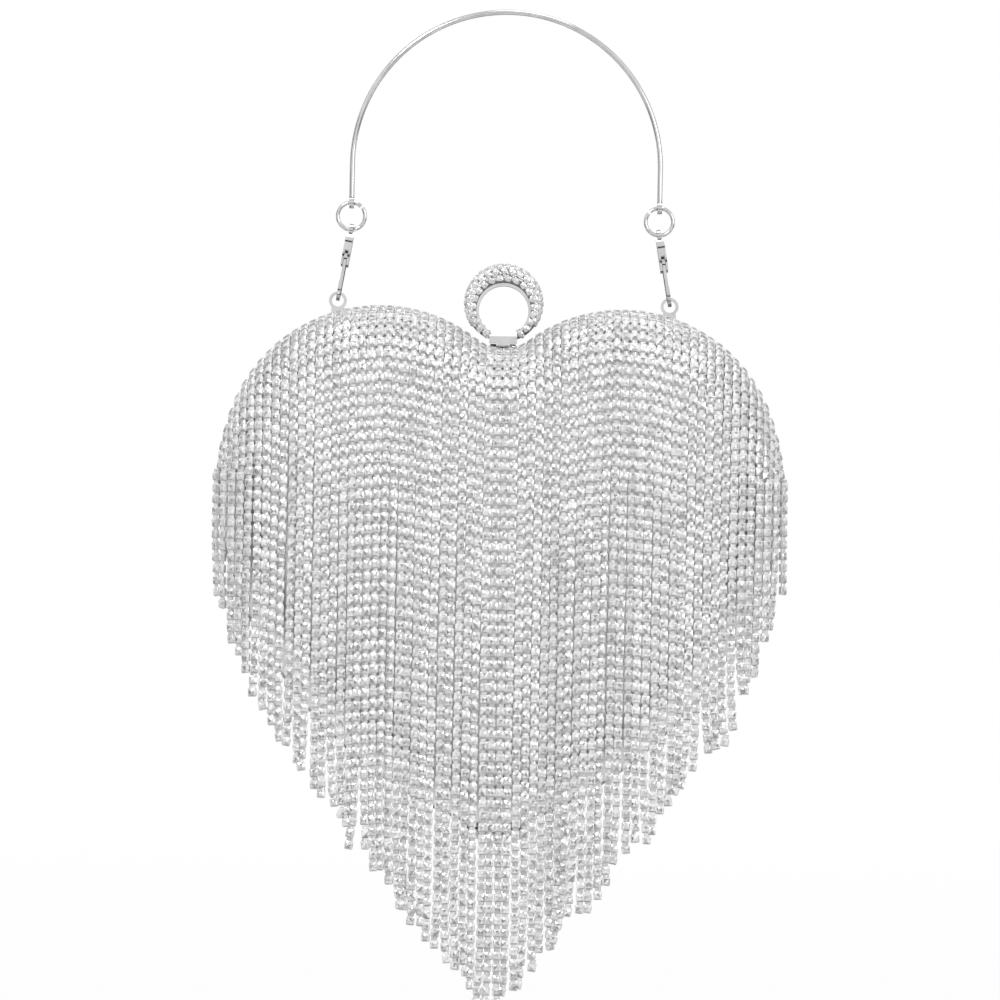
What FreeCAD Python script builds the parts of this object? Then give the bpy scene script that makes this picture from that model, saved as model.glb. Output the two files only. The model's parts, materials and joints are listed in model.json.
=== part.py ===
import FreeCAD, Part
import math
import os
import Sketcher
from FreeCAD import Placement, Rotation, Vector

# A hard heart-shaped evening purse. The origin is the underside of the handle's apex, where it hangs.
# The case has its own frame: y = 0 on the parting plane, z = 0 at the lowest point of the shells.
sizes = {
    # wire handle, jump rings and the play where links pass through eyes
    "handle_wire": 1.8,
    "handle_radius": 54.4,
    "handle_leg": 13.8,
    "handle_eye_radius": 2.1,
    "handle_eye_width": 1.6,
    "link_play": 0.35,
    "ring_diameter": 11.0,
    "ring_wire": 1.35,
    "ring_split": 10.0,
    "ring_split_turn": 42.0,
    # snap clasps
    "clasp_length": 24.9,
    "clasp_eye_radius": 2.0,
    "clasp_eye_width": 1.4,
    "clasp_neck": 1.4,
    "clasp_shoulder": 3.4,
    "clasp_heel": 0.8,
    "clasp_back": 0.6,
    "clasp_bulge": 0.85,
    "clasp_body_length": 12.6,
    "clasp_body_width": 2.7,
    "hook_wire": 1.2,
    "hook_radius": 3.9,
    "hook_tip_rise": 2.6,
    "gate_wire": 1.0,
    "gate_play": 0.15,
    "gate_pivot_in": 1.7,
    "gate_pivot_drop": 9.6,
    "gate_heel_radius": 1.1,
    "gate_heel_height": 0.9,
    "gate_press": 22.0,
    "gate_rest": 0.3,
    "gate_arm_width": 1.2,
    "gate_tab_reach": 2.9,
    "gate_tab_height": 1.3,
    "gate_pin_radius": 0.45,
    "gate_spring_leaf": 0.3,
    "gate_spring_room": 1.4,
    "pin_play": 0.05,
    # keyhole lugs
    "lug_offset": 58.6,
    "lug_head_radius": 3.15,
    "lug_hole_radius": 2.1,
    "lug_hook_play": 0.95,
    "lug_plate": 0.8,
    "lug_neck": 4.5,
    "lug_stand": 4.85,
    # heart outline of the shells
    "half_width": 98.1,
    "cleft_height": 165.1,
    "cleft_radius": 17.2,
    "lobe_radius": 53.7,
    "shoulder_angle": 20.5,
    "side_radius": 82.0,
    "flank_radius": 140.5,
    "tip_radius": 34.0,
    # walls of the case
    "shell_depth": 24.0,
    "shell_side": 0.6,
    "shell_wall": 1.4,
    "lining_wall": 0.6,
    "cover_wall": 0.4,
    "stone_height": 2.2,
    "frame_wall": 1.2,
    "frame_play": 0.1,
    "frame_band": 5.0,
    "frame_flange": 1.2,
    "flange_reach": 4.0,
    "parting_gap": 0.15,
    "case_setback": 1.2,
    # bottom hinge
    "hinge_drop": 2.6,
    "knuckle_radius": 2.0,
    "knuckle_length": 6.4,
    "knuckle_gap": 0.3,
    "hinge_pin_radius": 0.9,
    "hinge_pin_head": 0.6,
    # finger ring catch
    "finger_ring_radius": 13.5,
    "finger_ring_rise": 14.0,
    "finger_bore_radius": 8.75,
    "finger_bore_rise": 11.4,
    "finger_ring_depth": 7.0,
    "finger_ring_round": 1.6,
    "latch_base_width": 9.8,
    "latch_base_depth": 8.0,
    "latch_base_height": 2.3,
    "latch_base_stand": 2.7,
    "latch_pivot_back": 2.4,
    "latch_knuckle_radius": 1.1,
    "latch_knuckle_width": 4.0,
    "latch_ear_width": 2.2,
    "latch_ear_gap": 0.3,
    "latch_strip": 0.5,
    "latch_strip_gap": 0.15,
    "latch_strip_height": 1.2,
    "latch_pin_radius": 0.5,
    "latch_spring_leaf": 0.25,
    "tongue_width": 4.0,
    "tongue_plate": 0.6,
    "tongue_bead_radius": 0.5,
    "keeper_radius": 1.0,
    "keeper_forward": 3.0,
    "keeper_rise": 1.1,
    "catch_play": 0.3,
    # crystals set in the finger ring
    "ring_stone_radius": 1.0,
    "ring_stone_slope": 32.0,
    "ring_stone_height": 0.6,
    "ring_stone_count": 19,
    "ring_stone_sweep": 250.0,
    "ring_crown_count": 7,
    "ring_crown_sweep": 60.0,
    "ring_crown_step": 2.1,
    # crystal strands: what is glued ends at a drop below the lobe tops, the rest hangs loose
    "strand_pitch": 2.95,
    "strand_width": 2.5,
    "strand_play": 0.3,
    "strand_gap": 1.2,
    "mat_step_play": 0.15,
    "groove_first": 3,
    "groove_step": 5,
    "groove_width": 0.9,
    "groove_depth": 1.0,
    "centre_strands": 4,
    "centre_drop": 104.0,
    "inner_strands": 8,
    "inner_drop": 66.0,
    "middle_strands": 7,
    "middle_drop": 48.0,
    "outer_drop": 38.0,
    "side_strands": 4,
    "side_drop": 58.0,
    "edge_strands": 4,
    "edge_drop": 60.0,
    "fringe_length": 250.0,
    "fringe_taper": 0.49,
    "fringe_edge_taper": 0.088,
    "fringe_edge_power": 8,
}

doc = FreeCAD.newDocument("heart_purse")
dims = doc.addObject("Spreadsheet::Sheet", "dims")
for row, (alias, value) in enumerate(sizes.items(), start=1):
    dims.set(f"A{row}", alias)
    dims.set(f"B{row}", str(value))
    dims.setAlias(f"B{row}", alias)
doc.recompute()

x_axis = Vector(1, 0, 0)
y_axis = Vector(0, 1, 0)
z_axis = Vector(0, 0, 1)
along_x = Rotation(y_axis, 90)
along_y = Rotation(x_axis, -90)
front = -1
back = 1
pieces = []


def size(alias):
    return float(dims.get(alias))


def bind(item, **links):
    for name, link in links.items():
        item.setExpression(name, link)
    return item


def name_piece(item, label, place=None):
    item.Label = label
    if place is not None:
        item.Placement = place
    pieces.append(item)
    return item


# Part primitives, fuses and cuts

def cylinder(label, radius, height, base, turn):
    item = doc.addObject("Part::Cylinder", label)
    bind(item, Radius=radius, Height=height)
    item.Placement = Placement(base, turn)
    return item


def x_cylinder(label, radius, height, base):
    return cylinder(label, radius, height, base, along_x)


def y_cylinder(label, radius, height, base):
    return cylinder(label, radius, height, base, along_y)


def box(label, low, high):
    item = doc.addObject("Part::Box", label)
    item.Length = high.x - low.x
    item.Width = high.y - low.y
    item.Height = high.z - low.z
    item.Placement = Placement(low, Rotation())
    return item


def fuse(label, items):
    item = doc.addObject("Part::MultiFuse", label)
    item.Shapes = items
    return item


def cut(label, base, tool):
    item = doc.addObject("Part::Cut", label)
    item.Base = base
    item.Tool = tool
    return item


def common(label, items):
    item = doc.addObject("Part::MultiCommon", label)
    item.Shapes = items
    return item


def compound(label, items):
    item = doc.addObject("Part::Compound", label)
    item.Links = items
    return item


# Bodies, sketches and pads

def new_body(label):
    return doc.addObject("PartDesign::Body", label)


def new_sketch(body, label, role):
    sketch = body.newObject("Sketcher::SketchObject", label)
    plane = next(item for item in body.Origin.OriginFeatures if item.Role == role)
    sketch.AttachmentSupport = [(plane, "")]
    sketch.MapMode = "FlatFace"
    return sketch


def pad(body, sketch, length, symmetric=False, backward=False):
    item = body.newObject("PartDesign::Pad", f"{sketch.Label}_pad")
    item.Profile = sketch
    item.setExpression("Length", length)
    if symmetric:
        item.SideType = "Symmetric"
    item.Reversed = backward
    doc.recompute()
    return item


def pocket(body, sketch, length):
    before = body.Shape.Volume
    item = body.newObject("PartDesign::Pocket", f"{sketch.Label}_pocket")
    item.Profile = sketch
    item.setExpression("Length", length)
    item.SideType = "Symmetric"
    doc.recompute()
    if body.Shape.Volume >= before:
        raise RuntimeError(f"{sketch.Label} cuts nothing")
    return item


def outline(sketch, points):
    corners = [Vector(*point, 0) for point in points]
    for start, end in zip(corners, corners[1:] + corners[:1]):
        sketch.addGeometry(Part.LineSegment(start, end))
    count = len(corners)
    for i in range(count):
        sketch.addConstraint(Sketcher.Constraint("Coincident", i, 2, (i + 1) % count, 1))


def circle(sketch, centre, radius):
    here = sketch.addGeometry(Part.Circle(Vector(*centre, 0), z_axis, 1.0))
    there = sketch.addConstraint(Sketcher.Constraint("Radius", here, 1.0))
    sketch.renameConstraint(there, f"round_{here}")
    sketch.setExpression(f"Constraints.round_{here}", radius)


# The heart: tangent arcs round the tip, flanks, sides, lobes and cleft, offset by a growth

def growth_value(growth):
    return sum(sign * size(alias) for sign, alias in growth)


def growth_link(growth):
    return "".join(f" {'+' if sign > 0 else '-'} dims.{alias}" for sign, alias in growth)


shell_out = []
shell_in = [(-1, "shell_wall")]
lining_in = shell_in + [(-1, "lining_wall")]
cover_out = [(1, "cover_wall")]
stone_out = cover_out + [(1, "stone_height")]
groove_floor = stone_out + [(-1, "groove_depth")]
frame_in = [(1, "frame_play")]
frame_out = frame_in + [(1, "frame_wall")]
flange_in = [(-1, "flange_reach")]


def heart_centres():
    cleft = Vector(0, size("cleft_height") + size("cleft_radius"), 0)
    side_x = size("half_width") - size("side_radius")
    turn = math.radians(size("shoulder_angle"))
    step = size("side_radius") - size("lobe_radius")
    lobe_x = side_x + step * math.cos(turn)
    reach = size("cleft_radius") + size("lobe_radius")
    lobe = Vector(lobe_x, cleft.y - math.sqrt(reach**2 - lobe_x**2), 0)
    side = Vector(side_x, lobe.y - step * math.sin(turn), 0)
    tip = Vector(0, size("tip_radius"), 0)
    to_side = size("flank_radius") - size("side_radius")
    to_tip = size("flank_radius") - size("tip_radius")
    line = tip - side
    along = (to_side**2 - to_tip**2 + line.Length**2) / (2 * line.Length)
    across = math.sqrt(to_side**2 - along**2)
    unit = line / line.Length
    flank = side + unit * along + Vector(unit.y, -unit.x, 0) * across
    return {"cleft": cleft, "lobe": lobe, "side": side, "flank": flank, "tip": tip}


centres = heart_centres()


def polar(vector):
    return math.atan2(vector.y, vector.x)


def heart_angles():
    lobe_turn = polar(centres["lobe"] - centres["side"])
    side_turn = polar(centres["side"] - centres["flank"])
    tip_turn = polar(centres["tip"] - centres["flank"])
    cleft_turn = polar(centres["lobe"] - centres["cleft"])
    return {
        "tip": (-math.pi - tip_turn, tip_turn),
        "flank": (tip_turn, side_turn),
        "side": (side_turn, lobe_turn),
        "lobe": (lobe_turn, math.pi + cleft_turn),
        "cleft": (-math.pi - cleft_turn, cleft_turn),
    }


def heart_radius(arc, growth):
    sign = -1 if arc == "cleft" else 1
    return size(f"{arc}_radius") + sign * growth_value(growth)


def add_heart(sketch, growth, tag):
    angles = heart_angles()
    loop = ["tip", "flank", "side", "lobe", "cleft", "lobe", "side", "flank"]
    mirrored = [False] * 5 + [True] * 3
    first = sketch.GeometryCount
    for arc, mirror in zip(loop, mirrored):
        start, end = angles[arc]
        centre = Vector(centres[arc])
        if mirror:
            centre.x = -centre.x
            start, end = math.pi - end, math.pi - start
        ring = Part.Circle(centre, z_axis, heart_radius(arc, growth))
        sketch.addGeometry(Part.ArcOfCircle(ring, start, end))
    ends = [(0, 2, 1, 1), (1, 2, 2, 1), (2, 2, 3, 1), (3, 2, 4, 2)]
    ends += [(4, 1, 5, 1), (5, 2, 6, 1), (6, 2, 7, 1), (7, 2, 0, 1)]
    for one, one_end, two, two_end in ends:
        join = Sketcher.Constraint("Tangent", first + one, one_end, first + two, two_end)
        sketch.addConstraint(join)
    for i, arc in enumerate(loop):
        here = sketch.addConstraint(Sketcher.Constraint("Radius", first + i, heart_radius(arc, growth)))
        name = f"{arc}_{tag}_{i}"
        sketch.renameConstraint(here, name)
        link = growth_link(growth)
        if arc == "cleft":
            link = link.translate(str.maketrans("+-", "-+"))
        sketch.setExpression(f"Constraints.{name}", f"dims.{arc}_radius{link}")
    sketch.addConstraint(Sketcher.Constraint("PointOnObject", first, 3, -2))
    sketch.addConstraint(Sketcher.Constraint("PointOnObject", first + 4, 3, -2))
    side_link = "dims.half_width - dims.side_radius"
    turn_link = "cos(dims.shoulder_angle * 1 deg)"
    lobe_link = f"{side_link} + (dims.side_radius - dims.lobe_radius) * {turn_link}"
    places = [
        ("DistanceX", -1, 1, first + 2, 3, centres["side"].x, side_link),
        ("DistanceX", first + 6, 3, -1, 1, centres["side"].x, side_link),
        ("DistanceX", -1, 1, first + 3, 3, centres["lobe"].x, lobe_link),
        ("DistanceX", first + 5, 3, -1, 1, centres["lobe"].x, lobe_link),
        ("DistanceY", -1, 1, first, 3, centres["tip"].y, "dims.tip_radius"),
        ("DistanceY", -1, 1, first + 4, 3, centres["cleft"].y, "dims.cleft_height + dims.cleft_radius"),
    ]
    for i, (kind, one, one_end, two, two_end, value, link) in enumerate(places):
        here = sketch.addConstraint(Sketcher.Constraint(kind, one, one_end, two, two_end, value))
        sketch.renameConstraint(here, f"place_{tag}_{i}")
        sketch.setExpression(f"Constraints.place_{tag}_{i}", link)


def heart_sketch(body, label, growths, half, start):
    sketch = new_sketch(body, label, "XZ_Plane")
    sign = "" if half == front else "-"
    sketch.setExpression("AttachmentOffset.Base.z", f"{sign}dims.{start}")
    for i, growth in enumerate(growths):
        add_heart(sketch, growth, f"ring{i}")
    return sketch


def heart_top(x, growth):
    radius = heart_radius("lobe", growth)
    return centres["lobe"].y + math.sqrt(radius**2 - (x - centres["lobe"].x)**2)


# Nested domes: a padded heart with a rolled edge, from a start plane to the shell's depth plus its growth

def dome(label, growth, half, start):
    body = new_body(label)
    sketch = heart_sketch(body, f"{label}_outline", [growth], half, start)
    link = growth_link(growth)
    block = pad(body, sketch, f"dims.shell_depth{link} - dims.{start}", backward=half == back)
    face_y = half * (size("shell_depth") + growth_value(growth))
    rim = []
    for i, edge in enumerate(block.Shape.Edges, start=1):
        if all(abs(vertex.Y - face_y) < 1e-4 for vertex in edge.Vertexes):
            rim.append(f"Edge{i}")
    roll = body.newObject("PartDesign::Fillet", f"{label}_roll")
    roll.Base = (block, rim)
    roll.setExpression("Radius", f"dims.shell_depth - dims.frame_band - dims.shell_side{link}")
    doc.recompute()
    return body


def case_half(name, half):
    frame = new_body(f"{name}_frame")
    flange = heart_sketch(frame, f"{name}_flange", [frame_out, flange_in], half, "parting_gap")
    pad(frame, flange, "dims.frame_flange - dims.parting_gap", backward=half == back)
    band = heart_sketch(frame, f"{name}_band", [frame_out, frame_in], half, "frame_flange")
    pad(frame, band, "dims.frame_band - dims.frame_flange", backward=half == back)
    name_piece(frame, f"{name}_frame", case_place)
    outer = dome(f"{name}_shell_outer", shell_out, half, "frame_flange")
    inner = dome(f"{name}_shell_inner", shell_in, half, "frame_flange")
    hollow = dome(f"{name}_lining_inner", lining_in, half, "frame_flange")
    cloth = dome(f"{name}_cloth_outer", cover_out, half, "frame_band")
    stones = dome(f"{name}_stone_outer", stone_out, half, "frame_band")
    name_piece(cut(f"{name}_shell_cut", outer, inner), f"{name}_shell", case_place)
    name_piece(cut(f"{name}_lining_cut", inner, hollow), f"{name}_lining", case_place)
    name_piece(cut(f"{name}_cover_cut", cloth, outer), f"{name}_cover", case_place)
    return grooved(name, half, cut(f"{name}_stone_skin", stones, cloth))


# Grooves between the glued strands, one in so many, down to a floor that follows the dome
def grooved(name, half, skin):
    floor = dome(f"{name}_groove_floor", groove_floor, half, "frame_band")
    step = size("groove_step") * size("strand_pitch")
    across = size("groove_width") / 2
    deep = half * (size("shell_depth") + growth_value(stone_out))
    top = centres["lobe"].y + heart_radius("lobe", stone_out)
    slots = []
    x = size("groove_first") * size("strand_pitch")
    while x < size("half_width"):
        for middle in (-x, x):
            low = Vector(middle - across, min(0, deep), -growth_value(stone_out))
            slots.append(box("groove", low, Vector(middle + across, max(0, deep), top)))
        x += step
    slots = cut(f"{name}_grooves", compound(f"{name}_groove_set", slots), floor)
    return cut(f"{name}_grooved_skin", skin, slots)


# Where the pieces hang, worked down from the handle

handle_arch_z = size("handle_wire") / 2 - size("handle_radius")
handle_eye_z = handle_arch_z - size("handle_leg")
ring_radius = (size("ring_diameter") - size("ring_wire")) / 2
ring_z = handle_eye_z - ring_radius
ring_foot_z = ring_z - ring_radius
clasp_lean = math.asin((size("lug_offset") - size("handle_radius")) / size("clasp_length"))
hook_z = ring_foot_z - size("clasp_length") * math.cos(clasp_lean)
lug_slack = size("lug_hole_radius") - size("hook_wire") / 2 - size("lug_hook_play")
lug_z = hook_z - lug_slack
lug_case_z = heart_top(size("lug_offset"), frame_out) + size("lug_stand")
case_place = Placement(Vector(0, -size("case_setback"), lug_z - lug_case_z), Rotation())
lobe_top_z = centres["lobe"].y + heart_radius("lobe", stone_out)


def handle():
    bore = "dims.ring_wire / 2 + dims.link_play"
    arch = doc.addObject("Part::Torus", "handle_arch")
    bind(arch, Radius1="dims.handle_radius", Radius2="dims.handle_wire / 2")
    arch.Angle3 = 180
    arch.Placement = Placement(Vector(0, 0, handle_arch_z), Rotation(x_axis, 90))
    solids = [arch]
    holes = []
    for side in (-1, 1):
        x = side * size("handle_radius")
        low = Vector(x, 0, handle_eye_z)
        solids.append(cylinder("handle_leg_wire", "dims.handle_wire / 2", "dims.handle_leg", low, Rotation()))
        low = Vector(x - size("handle_eye_width") / 2, 0, handle_eye_z)
        solids.append(x_cylinder("handle_eye", "dims.handle_eye_radius", "dims.handle_eye_width", low))
        low = Vector(x - size("handle_eye_width"), 0, handle_eye_z)
        holes.append(x_cylinder("handle_eye_hole", bore, "dims.handle_eye_width * 2", low))
    wire = cut("handle_cut", fuse("handle_solid", solids), fuse("handle_holes", holes))
    name_piece(wire, "handle_wire")


def jump_ring(name, side):
    ring = doc.addObject("Part::Torus", f"{name}_torus")
    bind(ring, Radius1="(dims.ring_diameter - dims.ring_wire) / 2", Radius2="dims.ring_wire / 2")
    ring.setExpression("Angle3", "360 deg - dims.ring_split * 1 deg")
    turn = size("ring_split_turn") if side < 0 else 180 - size("ring_split_turn")
    spin = Rotation(x_axis, 90).multiply(Rotation(z_axis, turn + size("ring_split") / 2))
    name_piece(ring, f"{name}_ring", Placement(Vector(side * size("handle_radius"), 0, ring_z), spin))


# A snap clasp in its own frame: the eye's hole at the origin, the hook below, the gate on the front

def clasp_body(name, place):
    body = new_body(f"{name}_clasp")
    half = size("hook_wire") / 2
    bend = size("hook_radius")
    bend_z = bend - size("clasp_length")
    foot_z = -size("clasp_body_length")
    spine_z = foot_z + size("hook_radius")
    tip_z = bend_z + size("hook_tip_rise")
    hook = new_sketch(body, f"{name}_hook", "YZ_Plane")
    outer = bend + half
    inner = bend - half
    corners = [(outer, spine_z), (outer, bend_z), (-outer, bend_z), (-outer, tip_z)]
    corners += [(-inner, tip_z), (-inner, bend_z), (inner, bend_z), (inner, spine_z)]
    middles = {1: (0, bend_z - outer), 5: (0, bend_z - inner)}
    draw_run(hook, corners, middles)
    pad(body, hook, "dims.hook_wire", symmetric=True)
    cheeks = new_sketch(body, f"{name}_cheeks", "YZ_Plane")
    shoulder = size("clasp_shoulder")
    neck = size("clasp_neck")
    heel = size("clasp_heel")
    back_z = foot_z * size("clasp_back")
    corners = [(-neck, -neck), (-shoulder, foot_z * heel), (-shoulder * heel, foot_z), (outer / 2, foot_z)]
    corners += [(outer, foot_z - half), (outer, back_z), (neck, -neck)]
    middles = {0: (-shoulder, foot_z * heel / 2), 5: (outer * size("clasp_bulge"), back_z / 2)}
    draw_run(cheeks, corners, middles)
    pad(body, cheeks, "dims.clasp_body_width", symmetric=True)
    eye = new_sketch(body, f"{name}_eye", "YZ_Plane")
    circle(eye, (0, 0), "dims.clasp_eye_radius")
    pad(body, eye, "dims.clasp_eye_width", symmetric=True)
    hole = new_sketch(body, f"{name}_eye_hole", "YZ_Plane")
    circle(hole, (0, 0), "dims.ring_wire / 2 + dims.link_play")
    pocket(body, hole, "dims.clasp_body_width * 2")
    slot = new_sketch(body, f"{name}_slot", "YZ_Plane")
    low_z = foot_z - size("hook_wire")
    top_z = gate_ceiling()
    right = gate_wall()
    open_y = right + (gate_pivot()[1] - low_z) * math.tan(math.radians(size("gate_press")))
    corners = [(-outer * 2, low_z), (open_y, low_z), (right, gate_pivot()[1])]
    corners += [(right, top_z), (-outer * 2, top_z)]
    outline(slot, corners)
    pocket(body, slot, "dims.gate_wire + 2 * dims.gate_play")
    bore = new_sketch(body, f"{name}_gate_bore", "YZ_Plane")
    circle(bore, gate_pivot(), "dims.gate_pin_radius + dims.pin_play")
    pocket(body, bore, "dims.clasp_body_width * 2")
    name_piece(body, f"{name}_clasp_body", place)


def draw_run(sketch, corners, middles):
    count = len(corners)
    for i, start in enumerate(corners):
        end = corners[(i + 1) % count]
        if i in middles:
            line = Part.Arc(Vector(*start, 0), Vector(*middles[i], 0), Vector(*end, 0))
        else:
            line = Part.LineSegment(Vector(*start, 0), Vector(*end, 0))
        sketch.addGeometry(line)


def gate_pivot():
    return (-size("gate_pivot_in"), -size("gate_pivot_drop"))


def gate_heel_z():
    return gate_pivot()[1] + size("gate_heel_height")


def gate_ceiling():
    return gate_heel_z() + size("gate_spring_room")


def gate_wall():
    return gate_pivot()[0] + size("gate_heel_radius") + size("gate_play") + size("pin_play")


def clasp_gate(name, place):
    body = new_body(f"{name}_gate")
    pivot_y, pivot_z = gate_pivot()
    heel = size("gate_heel_radius")
    arm = size("gate_arm_width")
    bend_z = size("hook_radius") - size("clasp_length")
    end_z = bend_z + size("hook_tip_rise") / 2
    face = -size("hook_radius") + size("hook_wire") / 2 + size("gate_rest")
    tab_y = pivot_y - size("gate_tab_reach")
    tab_z = pivot_z + heel / 2
    lever = new_sketch(body, f"{name}_lever", "YZ_Plane")
    corners = [(pivot_y + heel, gate_heel_z()), (tab_y, tab_z), (tab_y, tab_z - size("gate_tab_height"))]
    corners += [(pivot_y - heel, pivot_z - heel), (face, end_z)]
    corners += [(face + arm, end_z), (pivot_y + heel, pivot_z)]
    outline(lever, corners)
    pad(body, lever, "dims.gate_wire", symmetric=True)
    bore = new_sketch(body, f"{name}_lever_bore", "YZ_Plane")
    circle(bore, (pivot_y, pivot_z), "dims.gate_pin_radius + dims.pin_play")
    pocket(body, bore, "dims.clasp_body_width")
    name_piece(body, f"{name}_clasp_gate", place)


def clasp_small_parts(name, place):
    pivot_y, pivot_z = gate_pivot()
    pin = doc.addObject("Part::Cylinder", f"{name}_pin")
    bind(pin, Radius="dims.gate_pin_radius", Height="dims.clasp_body_width")
    base = Vector(-size("clasp_body_width") / 2, pivot_y, pivot_z)
    name_piece(pin, f"{name}_gate_pin", place.multiply(Placement(base, along_x)))
    spring = new_body(f"{name}_spring")
    leaf = new_sketch(spring, f"{name}_leaf", "YZ_Plane")
    top = gate_ceiling()
    thick = size("gate_spring_leaf")
    root_y = pivot_y - size("gate_heel_radius")
    end_y = pivot_y + size("gate_heel_radius") / 2
    end_z = gate_heel_z() + size("gate_rest")
    corners = [(root_y, top), (root_y, top - thick), (end_y, end_z)]
    corners += [(end_y, end_z + thick), (root_y + 2 * thick, top)]
    outline(leaf, corners)
    pad(spring, leaf, "dims.gate_wire", symmetric=True)
    name_piece(spring, f"{name}_gate_spring", place)


def clasp(name, side):
    lean = Rotation(y_axis, -side * math.degrees(clasp_lean))
    place = Placement(Vector(side * size("handle_radius"), 0, ring_foot_z), lean)
    clasp_body(name, place)
    clasp_gate(name, place)
    clasp_small_parts(name, place)


def lobe_disc(side):
    base = Vector(side * centres["lobe"].x, -size("frame_band"), centres["lobe"].y)
    radius = "dims.lobe_radius + dims.frame_play + dims.frame_wall"
    return y_cylinder("lobe_disc", radius, "dims.frame_band * 2", base)


def lug(name, side):
    x = side * size("lug_offset")
    front_y = size("case_setback") - size("lug_plate") / 2
    back_y = front_y + size("lug_plate")
    face = Vector(x, front_y, lug_case_z)
    head = y_cylinder(f"{name}_lug_head", "dims.lug_head_radius", "dims.lug_plate", face)
    half = size("lug_neck") / 2
    root = lug_case_z - 2 * size("lug_stand")
    neck = box(f"{name}_lug_neck", Vector(x - half, front_y, root), Vector(x + half, back_y, lug_case_z))
    start = Vector(x, 0, lug_case_z)
    hole = y_cylinder(f"{name}_lug_hole", "dims.lug_hole_radius", "dims.lug_plate * 2", start)
    plate = cut(f"{name}_lug_seat", fuse(f"{name}_lug_plate", [head, neck]), lobe_disc(side))
    name_piece(cut(f"{name}_lug_cut", plate, hole), f"{name}_lug", case_place)


# Bottom hinge: a middle knuckle on the front frame, two outer knuckles on the back frame

hinge_z = -growth_value(frame_out) - size("hinge_drop")


def hinge_leaf(name, half, spans):
    solids = []
    holes = []
    radius = size("knuckle_radius")
    for low_x, high_x in spans:
        width = high_x - low_x
        start = Vector(low_x, 0, hinge_z)
        barrel = x_cylinder(f"{name}_barrel", "dims.knuckle_radius", "dims.knuckle_length", start)
        inner_y = half * size("parting_gap")
        outer_y = half * radius
        low = Vector(low_x, min(inner_y, outer_y), hinge_z)
        high = Vector(low_x + width, max(inner_y, outer_y), size("tip_radius") / 2)
        solids += [barrel, box(f"{name}_web", low, high)]
        bore = "dims.hinge_pin_radius + dims.pin_play"
        holes.append(x_cylinder(f"{name}_bore", bore, "dims.knuckle_length", start))
    reach = size("frame_band")
    seat = Vector(0, -reach, size("tip_radius"))
    tip = "dims.tip_radius + dims.frame_play + dims.frame_wall"
    holes.append(y_cylinder(f"{name}_seat", tip, "dims.frame_band * 2", seat))
    leaf = cut(f"{name}_leaf_cut", fuse(f"{name}_leaf_solid", solids), fuse(f"{name}_leaf_holes", holes))
    name_piece(leaf, f"{name}_hinge_leaf", case_place)


def hinge():
    length = size("knuckle_length")
    start = length / 2 + size("knuckle_gap")
    end = start + length
    hinge_leaf("front", front, [(-length / 2, length / 2)])
    hinge_leaf("back", back, [(-end, -start), (start, end)])
    head = size("hinge_pin_head")
    shank_link = "3 * dims.knuckle_length + 2 * dims.knuckle_gap + 2 * dims.pin_play"
    reach = end + size("pin_play")
    shank = x_cylinder("hinge_shank", "dims.hinge_pin_radius", shank_link, Vector(-reach, 0, hinge_z))
    cap = "(dims.hinge_pin_radius + dims.knuckle_radius) / 2"
    left = x_cylinder("hinge_cap_left", cap, "dims.hinge_pin_head", Vector(-reach - head, 0, hinge_z))
    right = x_cylinder("hinge_cap_right", cap, "dims.hinge_pin_head", Vector(reach, 0, hinge_z))
    name_piece(fuse("hinge_pin_solid", [shank, left, right]), "hinge_pin", case_place)


# The catch: a finger ring that tips back on the back frame, with a tongue over the front frame's keeper

frame_top_z = size("cleft_height") + growth_value(frame_out)
base_z = frame_top_z + size("latch_base_stand")
pivot_z = frame_top_z + size("latch_base_stand") / 2


def cleft_bowl(label):
    reach = size("frame_band")
    base = Vector(0, -reach, centres["cleft"].y)
    radius = "dims.cleft_radius - dims.frame_play - dims.frame_wall"
    return y_cylinder(label, radius, "dims.frame_band * 2", base)


def finger_ring():
    body = new_body("ring_body")
    rise = size("finger_ring_rise") + base_z
    bore_z = size("finger_bore_rise") + base_z
    floor_z = base_z + size("latch_base_height")
    half = size("latch_base_width") / 2
    hoop = new_sketch(body, "ring_hoop", "XZ_Plane")
    circle(hoop, (0, rise), "dims.finger_ring_radius")
    band = pad(body, hoop, "dims.finger_ring_depth", symmetric=True)
    rim = [f"Edge{i}" for i, edge in enumerate(band.Shape.Edges, start=1) if len(edge.Vertexes) == 1]
    soft = body.newObject("PartDesign::Fillet", "ring_round")
    soft.Base = (band, rim)
    soft.setExpression("Radius", "dims.finger_ring_round")
    base = new_sketch(body, "ring_base", "XZ_Plane")
    outline(base, [(-half, base_z), (half, base_z), (half, floor_z), (-half, floor_z)])
    pad(body, base, "dims.latch_base_depth", symmetric=True)
    bore = new_sketch(body, "ring_bore", "XZ_Plane")
    circle(bore, (0, bore_z), "dims.finger_bore_radius")
    pocket(body, bore, "dims.latch_base_depth * 2")
    floor = new_sketch(body, "ring_floor", "XZ_Plane")
    outline(floor, [(-half, floor_z), (half, floor_z), (half, bore_z), (-half, bore_z)])
    pocket(body, floor, "dims.latch_base_depth * 2")
    name_piece(body, "finger_ring", case_place)


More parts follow.
